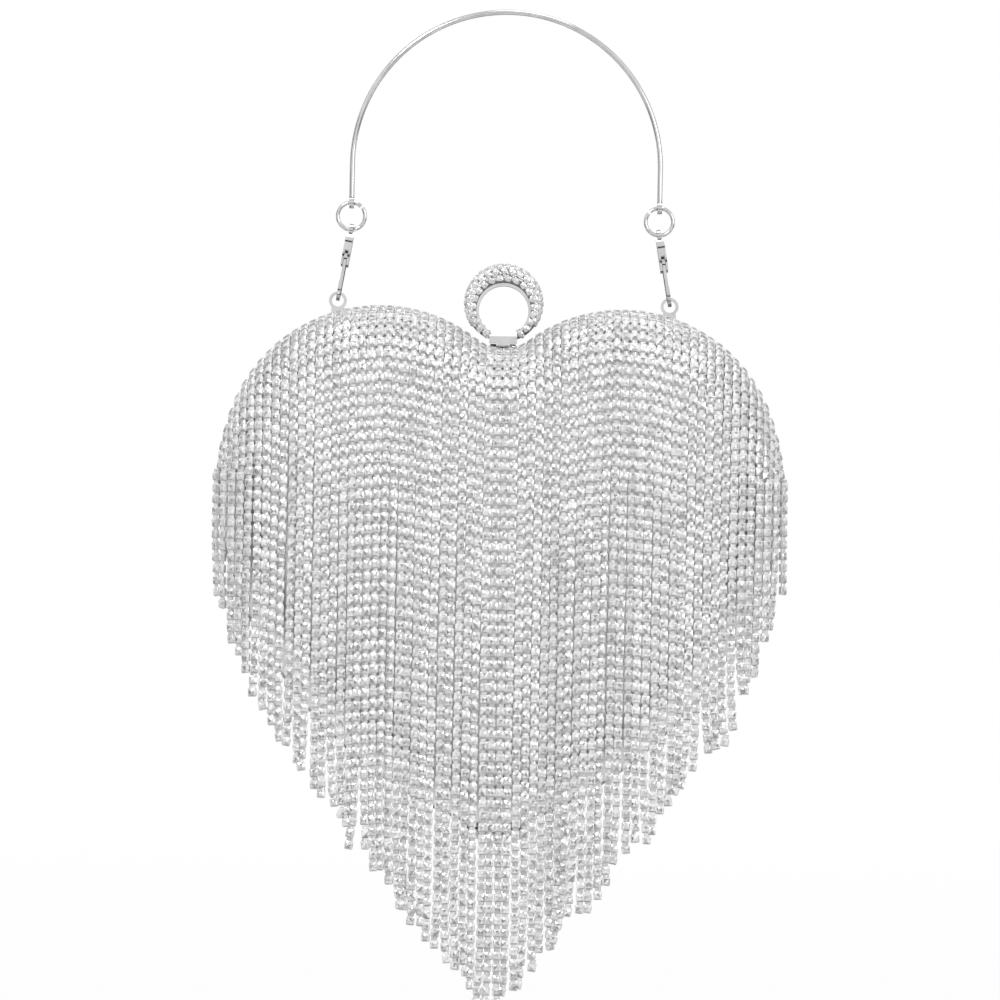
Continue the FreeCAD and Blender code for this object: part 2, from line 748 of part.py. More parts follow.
def ring_knuckle():
    body = new_body("knuckle_body")
    y = size("latch_pivot_back")
    radius = size("latch_knuckle_radius")
    knuckle = new_sketch(body, "ring_knuckle", "YZ_Plane")
    corners = [(y - radius, pivot_z), (y + radius, pivot_z), (y + radius, base_z), (y - radius, base_z)]
    draw_run(knuckle, corners, {0: (y, pivot_z - radius)})
    pad(body, knuckle, "dims.latch_knuckle_width", symmetric=True)
    pin = new_sketch(body, "ring_pin_bore", "YZ_Plane")
    circle(pin, (y, pivot_z), "dims.latch_pin_radius + dims.pin_play")
    pocket(body, pin, "dims.latch_knuckle_width * 2")
    name_piece(body, "latch_knuckle", case_place)


# A row of faceted crystals, turned about the middle of the band
def stone_row(half, radius, count, sweep):
    body = new_body("stone_row")
    body.AllowCompound = True
    sketch = new_sketch(body, "stone_facets", "XZ_Plane")
    sign = "" if half == front else "-"
    sketch.setExpression("AttachmentOffset.Base.z", f"{sign}dims.finger_ring_depth / 2")
    start = math.radians(90 - sweep / 2)
    middle = Vector(radius * math.cos(start), radius * math.sin(start), 0)
    corners = []
    for i in range(8):
        turn = start + math.pi * (i + 0.5) / 4
        corner = middle + Vector(math.cos(turn), math.sin(turn), 0) * size("ring_stone_radius")
        corners.append((corner.x, corner.y))
    outline(sketch, corners)
    crown = pad(body, sketch, "dims.ring_stone_height", backward=half == back)
    crown.setExpression("TaperAngle", "-dims.ring_stone_slope")
    row = body.newObject("PartDesign::PolarPattern", "stone_turns")
    row.Originals = [crown]
    row.Axis = (sketch, ["N_Axis"])
    row.Angle = sweep
    row.Occurrences = count
    body.Tip = row
    return body


# One row follows the middle of the band, and a shorter one crowns its top
def ring_stones():
    bore_z = size("finger_bore_rise") + base_z
    hoop_z = size("finger_ring_rise") + base_z
    middle = (size("finger_bore_radius") + size("finger_ring_radius") - size("finger_ring_round") / 2) / 2
    crown = middle + size("ring_crown_step")
    rows = []
    for half in (front, back):
        rows.append(stone_row(half, middle, int(size("ring_stone_count")), size("ring_stone_sweep")))
        rows.append(stone_row(half, crown, int(size("ring_crown_count")), size("ring_crown_sweep")))
    centre = Placement(Vector(0, 0, (bore_z + hoop_z) / 2), Rotation())
    name_piece(compound("ring_stone_set", rows), "ring_stones", case_place.multiply(centre))


def latch_parts():
    y = size("latch_pivot_back")
    radius = size("latch_knuckle_radius")
    half = size("latch_knuckle_width") / 2 + size("latch_ear_gap")
    ear = size("latch_ear_width")
    end = half + ear
    solids = []
    holes = []
    for low_x in (-end, half):
        start = Vector(low_x, y, pivot_z)
        solids.append(x_cylinder("latch_ear", "dims.latch_knuckle_radius", "dims.latch_ear_width", start))
        low = Vector(low_x, y - radius, frame_top_z - ear)
        solids.append(box("latch_ear_web", low, Vector(low_x + ear, y + radius, pivot_z)))
        bore = "dims.latch_pin_radius + dims.pin_play"
        holes.append(x_cylinder("latch_ear_bore", bore, "dims.latch_ear_width", start))
    strip_y = y + radius + size("latch_strip_gap")
    strip_top = frame_top_z + size("latch_strip_height")
    strip_back = strip_y + size("latch_strip")
    low = Vector(-end, strip_y, frame_top_z - ear)
    solids.append(box("latch_strip", low, Vector(end, strip_back, strip_top)))
    for low_x in (-end, half):
        low = Vector(low_x, y, frame_top_z - ear)
        solids.append(box("latch_strip_tie", low, Vector(low_x + ear, strip_back, strip_top)))
    ears = cut("latch_ears_cut", fuse("latch_ears", solids), fuse("latch_ear_holes", holes))
    name_piece(common("latch_bracket_seat", [ears, cleft_bowl("bracket_bowl")]), "latch_bracket", case_place)
    pin_link = "dims.latch_knuckle_width + 2 * dims.latch_ear_gap + 2 * dims.latch_ear_width"
    pin = x_cylinder("latch_pin_rod", "dims.latch_pin_radius", pin_link, Vector(-end, y, pivot_z))
    pin_place = case_place.multiply(pin.Placement)
    name_piece(pin, "latch_pin", pin_place)
    spring = new_body("latch_leaf")
    leaf = new_sketch(spring, "latch_leaf_run", "YZ_Plane")
    thick = size("latch_spring_leaf")
    foot_y = strip_back
    tip_y = size("latch_base_depth") / 2
    tip_z = base_z - size("latch_strip_gap")
    outline(leaf, [(foot_y, strip_top), (tip_y, tip_z), (tip_y - thick, tip_z), (foot_y - thick, strip_top)])
    pad(spring, leaf, "dims.latch_knuckle_width", symmetric=True)
    name_piece(spring, "latch_spring", case_place)


def tongue_and_keeper():
    half = size("tongue_width") / 2
    plate_z = base_z - size("tongue_plate")
    front_y = -size("latch_base_depth") / 2
    bead_y = front_y + size("tongue_bead_radius")
    bead_z = frame_top_z + size("keeper_rise") + size("catch_play") + size("tongue_bead_radius")
    plate = box("tongue_blade", Vector(-half, front_y, plate_z), Vector(half, 0, base_z))
    start = Vector(-half, bead_y, bead_z)
    bead = x_cylinder("tongue_bead", "dims.tongue_bead_radius", "dims.tongue_width", start)
    low = Vector(-half, front_y, bead_z)
    web = box("tongue_web", low, Vector(half, front_y + 2 * size("tongue_bead_radius"), base_z))
    name_piece(fuse("tongue_solid", [plate, bead, web]), "latch_tongue", case_place)
    rise = frame_top_z + size("keeper_rise") - size("keeper_radius")
    base = Vector(-half, -size("keeper_forward") + size("keeper_radius") / 2, rise)
    ridge = x_cylinder("keeper_ridge", "dims.keeper_radius", "dims.tongue_width", base)
    name_piece(common("keeper_seat", [ridge, cleft_bowl("keeper_bowl")]), "keeper", case_place)


# Strands in order from the centre out: each group leaves the case at its own drop

groups = ["centre", "inner", "middle", "outer", "side", "edge"]


def widest():
    if centres["flank"].y < centres["side"].y:
        return centres["flank"].x + size("flank_radius")
    return size("half_width")


# The outer group takes the strands that the others leave
def strand_counts():
    last = widest() + size("cover_wall") + size("strand_width") / 2
    total = int(last / size("strand_pitch") + 0.5)
    counts = {group: int(size(f"{group}_strands")) for group in groups if group != "outer"}
    counts["outer"] = total - sum(counts.values())
    return counts


def cover_face(x):
    roll = size("shell_depth") - size("frame_band") - size("shell_side") + size("cover_wall")
    inside = widest() + size("cover_wall") - (abs(x) - size("strand_width") / 2)
    shallow = roll - min(inside, roll)
    return size("shell_depth") + size("cover_wall") - roll + math.sqrt(roll**2 - shallow**2)


def strand(x, drop):
    width = size("strand_width")
    back_y = -cover_face(x) - size("strand_play")
    out = abs(x) / size("half_width")
    edge = size("fringe_edge_taper") * out**size("fringe_edge_power")
    bottom = size("fringe_length") * (1 - size("fringe_taper") * out - edge)
    item = doc.addObject("Part::Box", "strand")
    bind(item, Length="dims.strand_width", Width="dims.stone_height")
    item.Height = bottom - drop - size("strand_gap")
    low = Vector(x - width / 2, back_y - size("stone_height"), lobe_top_z - bottom)
    item.Placement = Placement(low, Rotation())
    return item


def fringe():
    first = 0
    for group in groups:
        count = strand_counts()[group]
        strands = []
        for i in range(first, first + count):
            x = (i + 0.5) * size("strand_pitch")
            strands += [strand(side * x, size(f"{group}_drop")) for side in (-1, 1)]
        first += count
        name_piece(compound(f"{group}_strand_set", strands), f"fringe_{group}", case_place)


# The glued strands end in steps, one at each group of loose ones
def front_mat(skin):
    body = new_body("mat_region")
    region = new_sketch(body, "mat_steps", "XZ_Plane")
    play = size("mat_step_play")
    edges = []
    first = 0
    for group in groups[:-1]:
        first += strand_counts()[group]
        edges.append(first * size("strand_pitch"))
    drops = [lobe_top_z - size(f"{group}_drop") for group in groups]
    wide = size("half_width") * 2
    steps = []
    for edge, inner, outer in zip(edges, drops, drops[1:]):
        x = edge - play if inner < outer else edge + play
        steps += [(x, inner), (x, outer)]
    steps.append((wide, drops[-1]))
    steps.append((wide, wide * 2))
    mirror = [(-x, z) for x, z in reversed(steps)]
    outline(region, mirror + steps)
    pad(body, region, "dims.shell_depth * 2")
    name_piece(common("front_mat_skin", [skin, body]), "front_stone_mat", case_place)


def build():
    handle()
    for name, side in (("left", -1), ("right", 1)):
        jump_ring(name, side)
        clasp(name, side)
        lug(name, side)
    front_mat(case_half("front", front))
    name_piece(case_half("back", back), "back_stone_mat", case_place)
    hinge()
    finger_ring()
    ring_knuckle()
    ring_stones()
    latch_parts()
    tongue_and_keeper()
    fringe()
    doc.recompute()


def check():
    for item in doc.Objects:
        if "Invalid" in item.State or "Error" in item.State:
            raise RuntimeError(f"{item.Label} failed: {item.State}")
    for item in pieces:
        if item.Shape.isNull() or not item.Shape.isValid() or not item.Shape.Solids:
            raise RuntimeError(f"{item.Label} has no valid shape")


def write():
    os.makedirs("parts", exist_ok=True)
    for item in pieces:
        item.Shape.exportStep(f"parts/{item.Label}.step")
        print(item.Label, len(item.Shape.Solids), "solids", round(item.Shape.Volume, 2), "mm3")


def report_axes():
    base = case_place.Base
    print("handle eyes at z", round(handle_eye_z, 4), "ring feet at z", round(ring_foot_z, 4))
    print("hooks at x", size("lug_offset"), "z", round(hook_z, 4), "lean", round(math.degrees(clasp_lean), 4))
    print("case at y", round(base.y, 4), "z", round(base.z, 4))
    print("hinge at z", round(base.z + hinge_z, 4))
    print("latch pivot at y", round(base.y + size("latch_pivot_back"), 4), "z", round(base.z + pivot_z, 4))
    print("finger bore at z", round(base.z + base_z + size("finger_bore_rise"), 4))
    for group in groups:
        print(group, "strands leave at z", round(base.z + lobe_top_z - size(f"{group}_drop"), 4))


build()
check()
write()
report_axes()
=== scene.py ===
import json
import math
import bpy
import numpy as np
from mathutils import Matrix, Vector


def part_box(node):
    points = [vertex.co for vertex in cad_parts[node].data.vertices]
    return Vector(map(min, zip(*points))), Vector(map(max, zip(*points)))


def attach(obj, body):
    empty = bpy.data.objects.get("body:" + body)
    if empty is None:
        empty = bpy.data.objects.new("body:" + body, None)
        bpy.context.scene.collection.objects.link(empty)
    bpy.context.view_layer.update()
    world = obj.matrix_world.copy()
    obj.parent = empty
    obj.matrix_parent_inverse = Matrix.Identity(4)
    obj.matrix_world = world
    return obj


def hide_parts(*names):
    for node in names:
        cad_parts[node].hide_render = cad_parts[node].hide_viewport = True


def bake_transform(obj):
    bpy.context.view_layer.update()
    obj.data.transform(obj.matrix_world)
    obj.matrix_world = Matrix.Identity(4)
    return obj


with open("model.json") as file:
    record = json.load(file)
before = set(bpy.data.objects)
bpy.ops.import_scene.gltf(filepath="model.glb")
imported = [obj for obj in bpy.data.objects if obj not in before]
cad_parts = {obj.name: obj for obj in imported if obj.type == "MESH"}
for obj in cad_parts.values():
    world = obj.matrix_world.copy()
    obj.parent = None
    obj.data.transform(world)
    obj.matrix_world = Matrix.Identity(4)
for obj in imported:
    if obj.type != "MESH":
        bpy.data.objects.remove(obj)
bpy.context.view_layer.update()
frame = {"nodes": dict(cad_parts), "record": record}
scene = bpy.context.scene
scene.view_settings.view_transform = "Standard"
mm = 0.001
hair = 1e-6
rng = np.random.default_rng(11)
print("frame loaded", len(frame["nodes"]), "nodes")


# Camera: straight on, the purse hangs a little out of plumb in the picture

shot = {"target": (0.0, -0.015, -0.1714), "distance": 1.6, "span": 0.35, "roll": -1.1, "sensor": 36}

cameraData = bpy.data.cameras.new("pictureCamera")
cameraData.sensor_width = shot["sensor"]
cameraData.lens = shot["sensor"] * shot["distance"] / shot["span"]
camera = bpy.data.objects.new("pictureCamera", cameraData)
camera.location = Vector(shot["target"]) + Vector((0, -shot["distance"], 0))
camera.rotation_euler = (math.radians(90), math.radians(shot["roll"]), 0)
scene.collection.objects.link(camera)
scene.camera = camera


# Shader maths: a wrapped socket, so that sums of sockets read as sums

class Value:
    def __init__(self, finish, socket):
        self.finish = finish
        self.socket = socket

    def combine(self, operation, other, swapped=False):
        pair = [other, self] if swapped else [self, other]
        return self.finish.node("Math", {"operation": operation}, {0: pair[0], 1: pair[1]})

    def __add__(self, other):
        return self.combine("ADD", other)

    def __mul__(self, other):
        return self.combine("MULTIPLY", other)

    def __rsub__(self, other):
        return self.combine("SUBTRACT", other, True)

    __radd__ = __add__
    __rmul__ = __mul__


class Finish:
    def __init__(self, owner):
        owner.use_nodes = True
        self.owner = owner
        self.tree = owner.node_tree
        self.shader = self.tree.nodes["Background" if owner.id_type == "WORLD" else "Principled BSDF"]

    def feed(self, socket, value):
        if isinstance(value, Value):
            self.tree.links.new(value.socket, socket)
        else:
            socket.default_value = value

    def node(self, kind, settings=None, sockets=None, out=0):
        made = self.tree.nodes.new("ShaderNode" + kind)
        for key, value in (settings or {}).items():
            setattr(made, key, value)
        for key, value in (sockets or {}).items():
            self.feed(made.inputs[key], value)
        return Value(self, made.outputs[out])

    def place(self):
        return self.node("TexCoord", out="Object")

    def noise(self, scale, detail):
        return self.node("TexNoise", None, {"Vector": self.place(), "Scale": scale, "Detail": detail})

    def glint(self):
        return self.node("Attribute", {"attribute_name": "glint"}, out="Fac")

    def tones(self, share, *stops):
        ramp = self.node("ValToRGB", None, {0: share})
        elements = ramp.socket.node.color_ramp.elements
        for i, (place, tone) in enumerate(stops):
            stop = elements[i] if i < 2 else elements.new(place)
            stop.position = place
            stop.color = (*tone, 1)
        return ramp

    def bump(self, height, strength, distance):
        return self.node("Bump", None, {"Strength": strength, "Distance": distance, "Height": height})

    def surface(self, **sockets):
        for key, value in sockets.items():
            self.feed(self.shader.inputs[key.replace("_", " ")], value)
        return self.owner


def material(name):
    return Finish(bpy.data.materials.new(name))


def grey(level):
    return (level, level, level)


# Finishes: a noise is its scale and detail, a bump its strength and its height in metres

chromeLook = {"tone": (0.70, 0.70, 0.71), "dull": (0.56, 0.56, 0.57), "edge": (0.10, 0.10, 0.11),
              "span": (0.3, 0.7), "smooth": 0.08, "worn": 0.2,
              "cloud": (160.0, 4.0), "scratch": (2200.0, 2.0), "bump": (0.05, 0.00005)}

def chrome(name):
    metal = material(name)
    cloud = metal.noise(*chromeLook["cloud"])
    scratch = metal.noise(*chromeLook["scratch"])
    low, high = chromeLook["span"]
    tone = metal.tones(cloud, (low, chromeLook["dull"]), (high, chromeLook["tone"]))
    rough = chromeLook["smooth"] + (chromeLook["worn"] - chromeLook["smooth"]) * (cloud * scratch)
    bump = metal.bump(scratch, *chromeLook["bump"])
    # the dark edge tint darkens the metal's reflections towards its edges, a painted dark reflection
    edge = (*chromeLook["edge"], 1)
    return metal.surface(Base_Color=tone, Metallic=1.0, Roughness=rough, Specular_Tint=edge, Normal=bump)


crystalLook = {"dark": 0.22, "mid": 0.56, "bright": 0.88, "midAt": 0.45,
               "rough": 0.2, "polish": 0.1, "metal": 0.3, "coat": 0.4, "ior": 1.6}

# the crystal's colour follows each facet's painted glint: painted reflections, painted highlight and
# painted shade
def crystal(name):
    glass = material(name)
    glint = glass.glint()
    dark, mid, bright = [grey(crystalLook[key]) for key in ("dark", "mid", "bright")]
    tone = glass.tones(glint, (0.0, dark), (1.0, bright), (crystalLook["midAt"], mid))
    rough = crystalLook["rough"] - crystalLook["polish"] * glint
    return glass.surface(Base_Color=tone, Metallic=crystalLook["metal"], Roughness=rough,
                         Coat_Weight=crystalLook["coat"], IOR=crystalLook["ior"])


cupLook = {"dark": 0.55, "bright": 0.92, "rough": 0.3, "polish": 0.12, "metal": 0.6}

# the cup's colour follows each face's painted glint, a painted highlight
def cupMetal(name):
    metal = material(name)
    glint = metal.glint()
    tone = metal.tones(glint, (0.0, grey(cupLook["dark"])), (1.0, grey(cupLook["bright"])))
    rough = cupLook["rough"] - cupLook["polish"] * glint
    return metal.surface(Base_Color=tone, Metallic=cupLook["metal"], Roughness=rough)


clothLook = {
    "cover": {"low": 0.80, "high": 0.92, "thread": 0.42, "sheen": 0.25, "metal": 0.65, "rough": 0.44},
    "lining": {"low": 0.42, "high": 0.56, "thread": 0.36, "sheen": 0.4, "metal": 0.0, "rough": 0.62},
}
# bandRate is how many radians Blender's wave texture turns in one unit at scale 1
weaveLook = {"bandRate": 20, "waver": 0.6, "weftScale": 0.8, "warpShare": 0.6, "weftShare": 0.4,
             "flow": (45.0, 3.0), "flowShare": 0.5, "span": (0.25, 0.8), "polish": 0.15,
             "bump": (0.2, 0.0001)}

def satin(name, look):
    cloth = material(name)
    scale = 2 * math.pi / (look["thread"] * mm) / weaveLook["bandRate"]
    flow = cloth.noise(*weaveLook["flow"])
    threads = {"Vector": cloth.place(), "Scale": scale, "Distortion": weaveLook["waver"]}
    warp = cloth.node("TexWave", {"bands_direction": "X"}, threads)
    threads["Scale"] = scale * weaveLook["weftScale"]
    weft = cloth.node("TexWave", {"bands_direction": "Z"}, threads)
    weave = warp * weaveLook["warpShare"] + weft * weaveLook["weftShare"]
    share = weave * (1 - weaveLook["flowShare"]) + flow * weaveLook["flowShare"]
    low, high = weaveLook["span"]
    tone = cloth.tones(share, (low, grey(look["low"])), (high, grey(look["high"])))
    rough = look["rough"] - weaveLook["polish"] * weave
    bump = cloth.bump(weave, *weaveLook["bump"])
    return cloth.surface(Base_Color=tone, Metallic=look["metal"], Roughness=rough,
                         Sheen_Weight=look["sheen"], Normal=bump)


boardLook = {"dark": 0.24, "light": 0.34, "span": (0.3, 0.7), "grain": (900.0, 3.0),
             "rough": 0.6, "worn": 0.2, "bump": (0.2, 0.0001)}

def board(name):
    stuff = material(name)
    grain = stuff.noise(*boardLook["grain"])
    low, high = boardLook["span"]
    tone = stuff.tones(grain, (low, grey(boardLook["dark"])), (high, grey(boardLook["light"])))
    rough = boardLook["rough"] + boardLook["worn"] * grain
    return stuff.surface(Base_Color=tone, Roughness=rough, Normal=stuff.bump(grain, *boardLook["bump"]))


chromeFinish = chrome("polishedPlate")
crystalFinish = crystal("glintPaintedCrystal")
cupFinish = cupMetal("brightCup")
coverFinish = satin("coverSatin", clothLook["cover"])
liningFinish = satin("liningSatin", clothLook["lining"])
boardFinish = board("mouldedBoard")

bySlot = {"metal": chromeFinish, "crystal": crystalFinish, "cover_cloth": coverFinish,
          "lining_cloth": liningFinish, "shell_board": boardFinish}
for part in frame["record"]["subparts"]:
    for slot in frame["nodes"][part["node"]].material_slots:
        slot.material = bySlot[part["material_slot"]]
print("finishes made")


# Helpers for modelling

def leaveEdit():
    bpy.ops.object.mode_set(mode="OBJECT")


def deselect():
    if bpy.context.object and bpy.context.object.mode != "OBJECT":
        leaveEdit()
    bpy.ops.object.select_all(action="DESELECT")


def activate(*items):
    deselect()
    for item in items:
        item.select_set(True)
    bpy.context.view_layer.objects.active = items[0]


def edit(choice="SELECT"):
    bpy.ops.object.mode_set(mode="EDIT")
    bpy.ops.mesh.select_all(action=choice)


def extrudeUp(height, scale=1.0):
    bpy.ops.mesh.extrude_region_move(TRANSFORM_OT_translate={"value": (0, 0, height)})
    if scale != 1.0:
        bpy.ops.transform.resize(value=(scale, scale, 1))


def deleteFaces(item, unwanted, kind):
    edit("DESELECT")
    leaveEdit()
    for polygon in item.data.polygons:
        polygon.select = unwanted(polygon)
    bpy.ops.object.mode_set(mode="EDIT")
    bpy.ops.mesh.select_mode(type="FACE")
    bpy.ops.mesh.delete(type=kind)
    leaveEdit()


def thicken(item, thick, offset):
    wall = item.modifiers.new("thickness", "SOLIDIFY")
    wall.thickness = thick * mm
    wall.offset = offset
    bpy.ops.object.modifier_apply(modifier="thickness")


def dress(item, finishes, body, nodes=()):
    item.data.materials.clear()
    for finish in finishes:
        item.data.materials.append(finish)
    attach(item, body)
    if nodes:
        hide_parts(*nodes)


def unit(vector):
    return vector / np.linalg.norm(vector)


# The heart: tangent arcs in the case's own frame, millimetres

case = {"halfWidth": 98.1, "cleftHeight": 165.1, "cleft": 17.2, "lobe": 53.7, "shoulder": 20.5,
        "side": 82.0, "flank": 140.5, "tip": 34.0, "depth": 24.0, "band": 5.0, "sideWall": 0.6,
        "deepest": 60.0, "arcPoints": 4}

hinge = next(joint for joint in frame["record"]["behaviour"]["joints"] if joint["name"] == "front_open")
case["place"] = (0.0, hinge["pos_m"][1] / mm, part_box("front_shell")[0].z / mm)


def angleOf(vector):
    return math.atan2(vector.y, vector.x)


# an arc is its centre, its radius and the angles at which it starts and ends
def heartArcs():
    cleft = Vector((0, case["cleftHeight"] + case["cleft"]))
    turn = math.radians(case["shoulder"])
    step = case["side"] - case["lobe"]
    sideX = case["halfWidth"] - case["side"]
    lobeX = sideX + step * math.cos(turn)
    lobe = Vector((lobeX, cleft.y - math.sqrt((case["cleft"] + case["lobe"])**2 - lobeX**2)))
    side = Vector((sideX, lobe.y - step * math.sin(turn)))
    tip = Vector((0, case["tip"]))
    line = tip - side
    toSide = case["flank"] - case["side"]
    toTip = case["flank"] - case["tip"]
    along = (toSide**2 - toTip**2 + line.length**2) / (2 * line.length)
    across = math.sqrt(toSide**2 - along**2)
    way = line.normalized()
    flank = side + way * along + Vector((way.y, -way.x)) * across
    tipTurn, sideTurn = angleOf(tip - flank), angleOf(side - flank)
    lobeTurn, cleftTurn = angleOf(lobe - side), angleOf(lobe - cleft)
    return [(tip, case["tip"], -math.pi / 2, tipTurn), (flank, case["flank"], tipTurn, sideTurn),
            (side, case["side"], sideTurn, lobeTurn), (lobe, case["lobe"], lobeTurn, math.pi + cleftTurn),
            (cleft, -case["cleft"], cleftTurn, -math.pi / 2)]


arcs = heartArcs()


def heartOutline(growth, step):
    right = []
    for centre, radius, start, end in arcs:
        reach = abs(radius + growth)
        count = max(case["arcPoints"], int(reach * abs(end - start) / step))
        for i in range(count):
            turn = start + (end - start) * i / count
            right.append((centre.x + reach * math.cos(turn), centre.y + reach * math.sin(turn)))
    last = (0.0, case["cleftHeight"] + growth)
    left = [(-x, z) for x, z in reversed(right[1:])]
    return right + [last] + left


# how far a spot lies inside the outline
def insideHeart(x, z, growth):
    x = np.abs(x)
    best = np.full(np.shape(x), case["deepest"])
    for centre, radius, start, end in arcs:
        dx, dz = x - centre.x, z - centre.y
        turn = np.arctan2(dz, dx)
        low, high = min(start, end), max(start, end)
        reach = np.hypot(dx, dz)
        inside = (radius + growth) - reach if radius > 0 else reach + radius + growth
        fits = (turn >= low - hair) & (turn <= high + hair)
        best = np.where(fits & (inside < best), inside, best)
    return best


def rollRadius(growth):
    return case["depth"] - case["band"] - case["sideWall"] + growth


def domeDepth(inside, growth):
    roll = rollRadius(growth)
    short = roll - np.clip(inside, 0, roll)
    return case["depth"] + growth - roll + np.sqrt(roll**2 - short**2)


# Cloth over and inside the shells: the heart is filled, then inset in steps round the rolled edge

sheetLook = {"coverGrowth": 0.05, "coverThick": 0.3, "liningGrowth": -1.95, "liningThick": 0.45,
             "steps": 9, "spacing": 2.4}

def domeSheet(name, growth, half, thick):
    points = heartOutline(growth, sheetLook["spacing"])
    deselect()
    bpy.ops.mesh.primitive_circle_add(vertices=len(points), radius=1, fill_type="NGON")
    sheet = bpy.context.object
    sheet.name = sheet.data.name = name
    for vertex, (x, z) in zip(sheet.data.vertices, points):
        vertex.co = (x, z, 0)
    edit()
    bpy.ops.mesh.normals_make_consistent(inside=False)
    extrudeUp(case["sideWall"])
    roll = rollRadius(growth)
    turns = [math.pi / 2 * i / sheetLook["steps"] for i in range(sheetLook["steps"] + 1)]
    for one, two in zip(turns, turns[1:]):
        inward = roll * (math.cos(one) - math.cos(two))
        bpy.ops.mesh.inset(thickness=inward, depth=roll * (math.sin(two) - math.sin(one)))
    leaveEdit()
    # the filled heart can face either way
    sign = 1 if max(vertex.co.z for vertex in sheet.data.vertices) > case["sideWall"] * 2 else -1

    def atFoot(polygon):
        return all(abs(sheet.data.vertices[i].co.z) < hair for i in polygon.vertices)

    deleteFaces(sheet, atFoot, "ONLY_FACE")
    for vertex in sheet.data.vertices:
        x, z, rise = vertex.co
        vertex.co = Vector((x, half * (case["band"] + sign * rise), z)) * mm + Vector(case["place"]) * mm
    activate(sheet)
    edit()
    bpy.ops.mesh.remove_doubles(threshold=hair)
    bpy.ops.mesh.normals_make_consistent(inside=False)
    leaveEdit()
    bpy.ops.object.shade_smooth()
    area = sum(polygon.area for polygon in sheet.data.polygons)
    thicken(sheet, thick, 1.0)
    return sheet, area


for side, half in (("front", -1), ("back", 1)):
    cover, area = domeSheet(f"{side}CoverCloth", sheetLook["coverGrowth"], half, sheetLook["coverThick"])
    dress(cover, [coverFinish], f"{side}_half", [f"{side}_cover"])
    growth, thick = sheetLook["liningGrowth"], sheetLook["liningThick"]
    lining, area = domeSheet(f"{side}LiningCloth", growth, half, thick)
    dress(lining, [liningFinish], f"{side}_half", [f"{side}_lining"])
print("cloth stretched")


# One crystal in its cup, with the link to the next one above it, millimetres

# faces are of two kinds: 0 is the crystal, 1 the metal of the cup, its prongs and the link
setting = {"half": (1.50, 1.54), "corner": 0.32, "cupFoot": 0.92, "cupRise": 1.2, "lip": 0.12,
           "crownRise": 0.62, "tableShare": 0.66, "glassOver": 0.05,
           "prong": (0.40, 0.36, 1.1), "prongLift": 0.03, "prongReach": 1.64,
           "tipFrom": 1.3, "tipLean": 0.36, "link": (2.1, 1.2, 0.5), "linkAt": (0, 2.02, 0.8)}


def modelBar(size, place):
    deselect()
    bpy.ops.mesh.primitive_cube_add(size=1)
    bar = bpy.context.object
    bar.scale = size
    bar.location = place
    bpy.ops.object.transform_apply(location=True, rotation=False, scale=True)
    return bar


# the link is a bar along the strand, open at its ends
def modelLink():
    link = modelBar(setting["link"], setting["linkAt"])
    deleteFaces(link, lambda polygon: abs(polygon.normal.y) > 0.5, "ONLY_FACE")
    return link


# a prong is a bar against the cup's corner, without its hidden faces
def modelProng(turn):
    prong = modelBar(setting["prong"], (0, 0, setting["cupRise"] + setting["prongLift"]))
    for vertex in prong.data.vertices:    # the tips lean in over the crown
        lean = setting["tipLean"] if vertex.co.z > setting["tipFrom"] else 0.0
        vertex.co.x += setting["prongReach"] - lean
    deleteFaces(prong, lambda polygon: polygon.normal.z < -0.5 or polygon.normal.x < -0.5, "FACE")
    edit()
    bpy.ops.transform.rotate(value=-turn, orient_axis="Z", center_override=(0, 0, 0))
    leaveEdit()
    return prong


def modelStone():
    deselect()
    bpy.ops.mesh.primitive_circle_add(vertices=8, radius=1, fill_type="NGON", rotation=(0, 0, math.pi / 8))
    stone = bpy.context.object
    bpy.ops.object.transform_apply(location=False, rotation=True, scale=False)
    wide, tall = setting["half"]
    for vertex in stone.data.vertices:
        x, y, z = vertex.co
        across = wide if abs(x) > abs(y) else wide - setting["corner"]
        along = tall if abs(y) > abs(x) else tall - setting["corner"]
        vertex.co = Vector((math.copysign(across, x), math.copysign(along, y), z)) * setting["cupFoot"]
    edit()
    extrudeUp(setting["cupRise"], 1 / setting["cupFoot"])
    bpy.ops.mesh.inset(thickness=setting["lip"])
    extrudeUp(setting["crownRise"], setting["tableShare"])
    bpy.ops.mesh.poke()
    bpy.ops.mesh.select_all(action="SELECT")
    bpy.ops.mesh.normals_make_consistent(inside=False)
    leaveEdit()
    for polygon in stone.data.polygons:
        polygon.material_index = 0 if polygon.center.z > setting["cupRise"] + setting["glassOver"] else 1
    return stone


# Blender's own order of the crown's sides varies from run to run, so they are sorted by where they lie
def steadyOrder(polygons):
    ordered = list(polygons)
    sides = [i for i, face in enumerate(ordered) if face.material_index == 0 and len(face.vertices) == 4]
    crown = sorted((ordered[i] for i in sides), key=lambda face: [round(at, 2) for at in face.center])
    for i, face in zip(sides, crown):
        ordered[i] = face
    return ordered


def modelSetting():
    stone = modelStone()
    metal = [modelProng(math.pi / 4 + i * math.pi / 2) for i in range(4)]
    metal.append(modelLink())
    for piece in metal:
        for polygon in piece.data.polygons:
            polygon.material_index = 1
    for piece in (stone, *metal):
        for finish in (crystalFinish, cupFinish):
            piece.data.materials.append(finish)
    activate(stone, *metal)
    bpy.ops.object.join()
    points = np.array([vertex.co for vertex in stone.data.vertices])
    polygons = steadyOrder(stone.data.polygons)
    faces = [tuple(polygon.vertices) for polygon in polygons]
    kinds = [polygon.material_index for polygon in polygons]
    normals = [tuple(polygon.normal) for polygon in polygons]
    bpy.data.objects.remove(stone)
    return {"points": points, "faces": faces, "kinds": kinds, "normals": normals}


pattern = modelSetting()
print("setting modelled", len(pattern["faces"]), "faces")
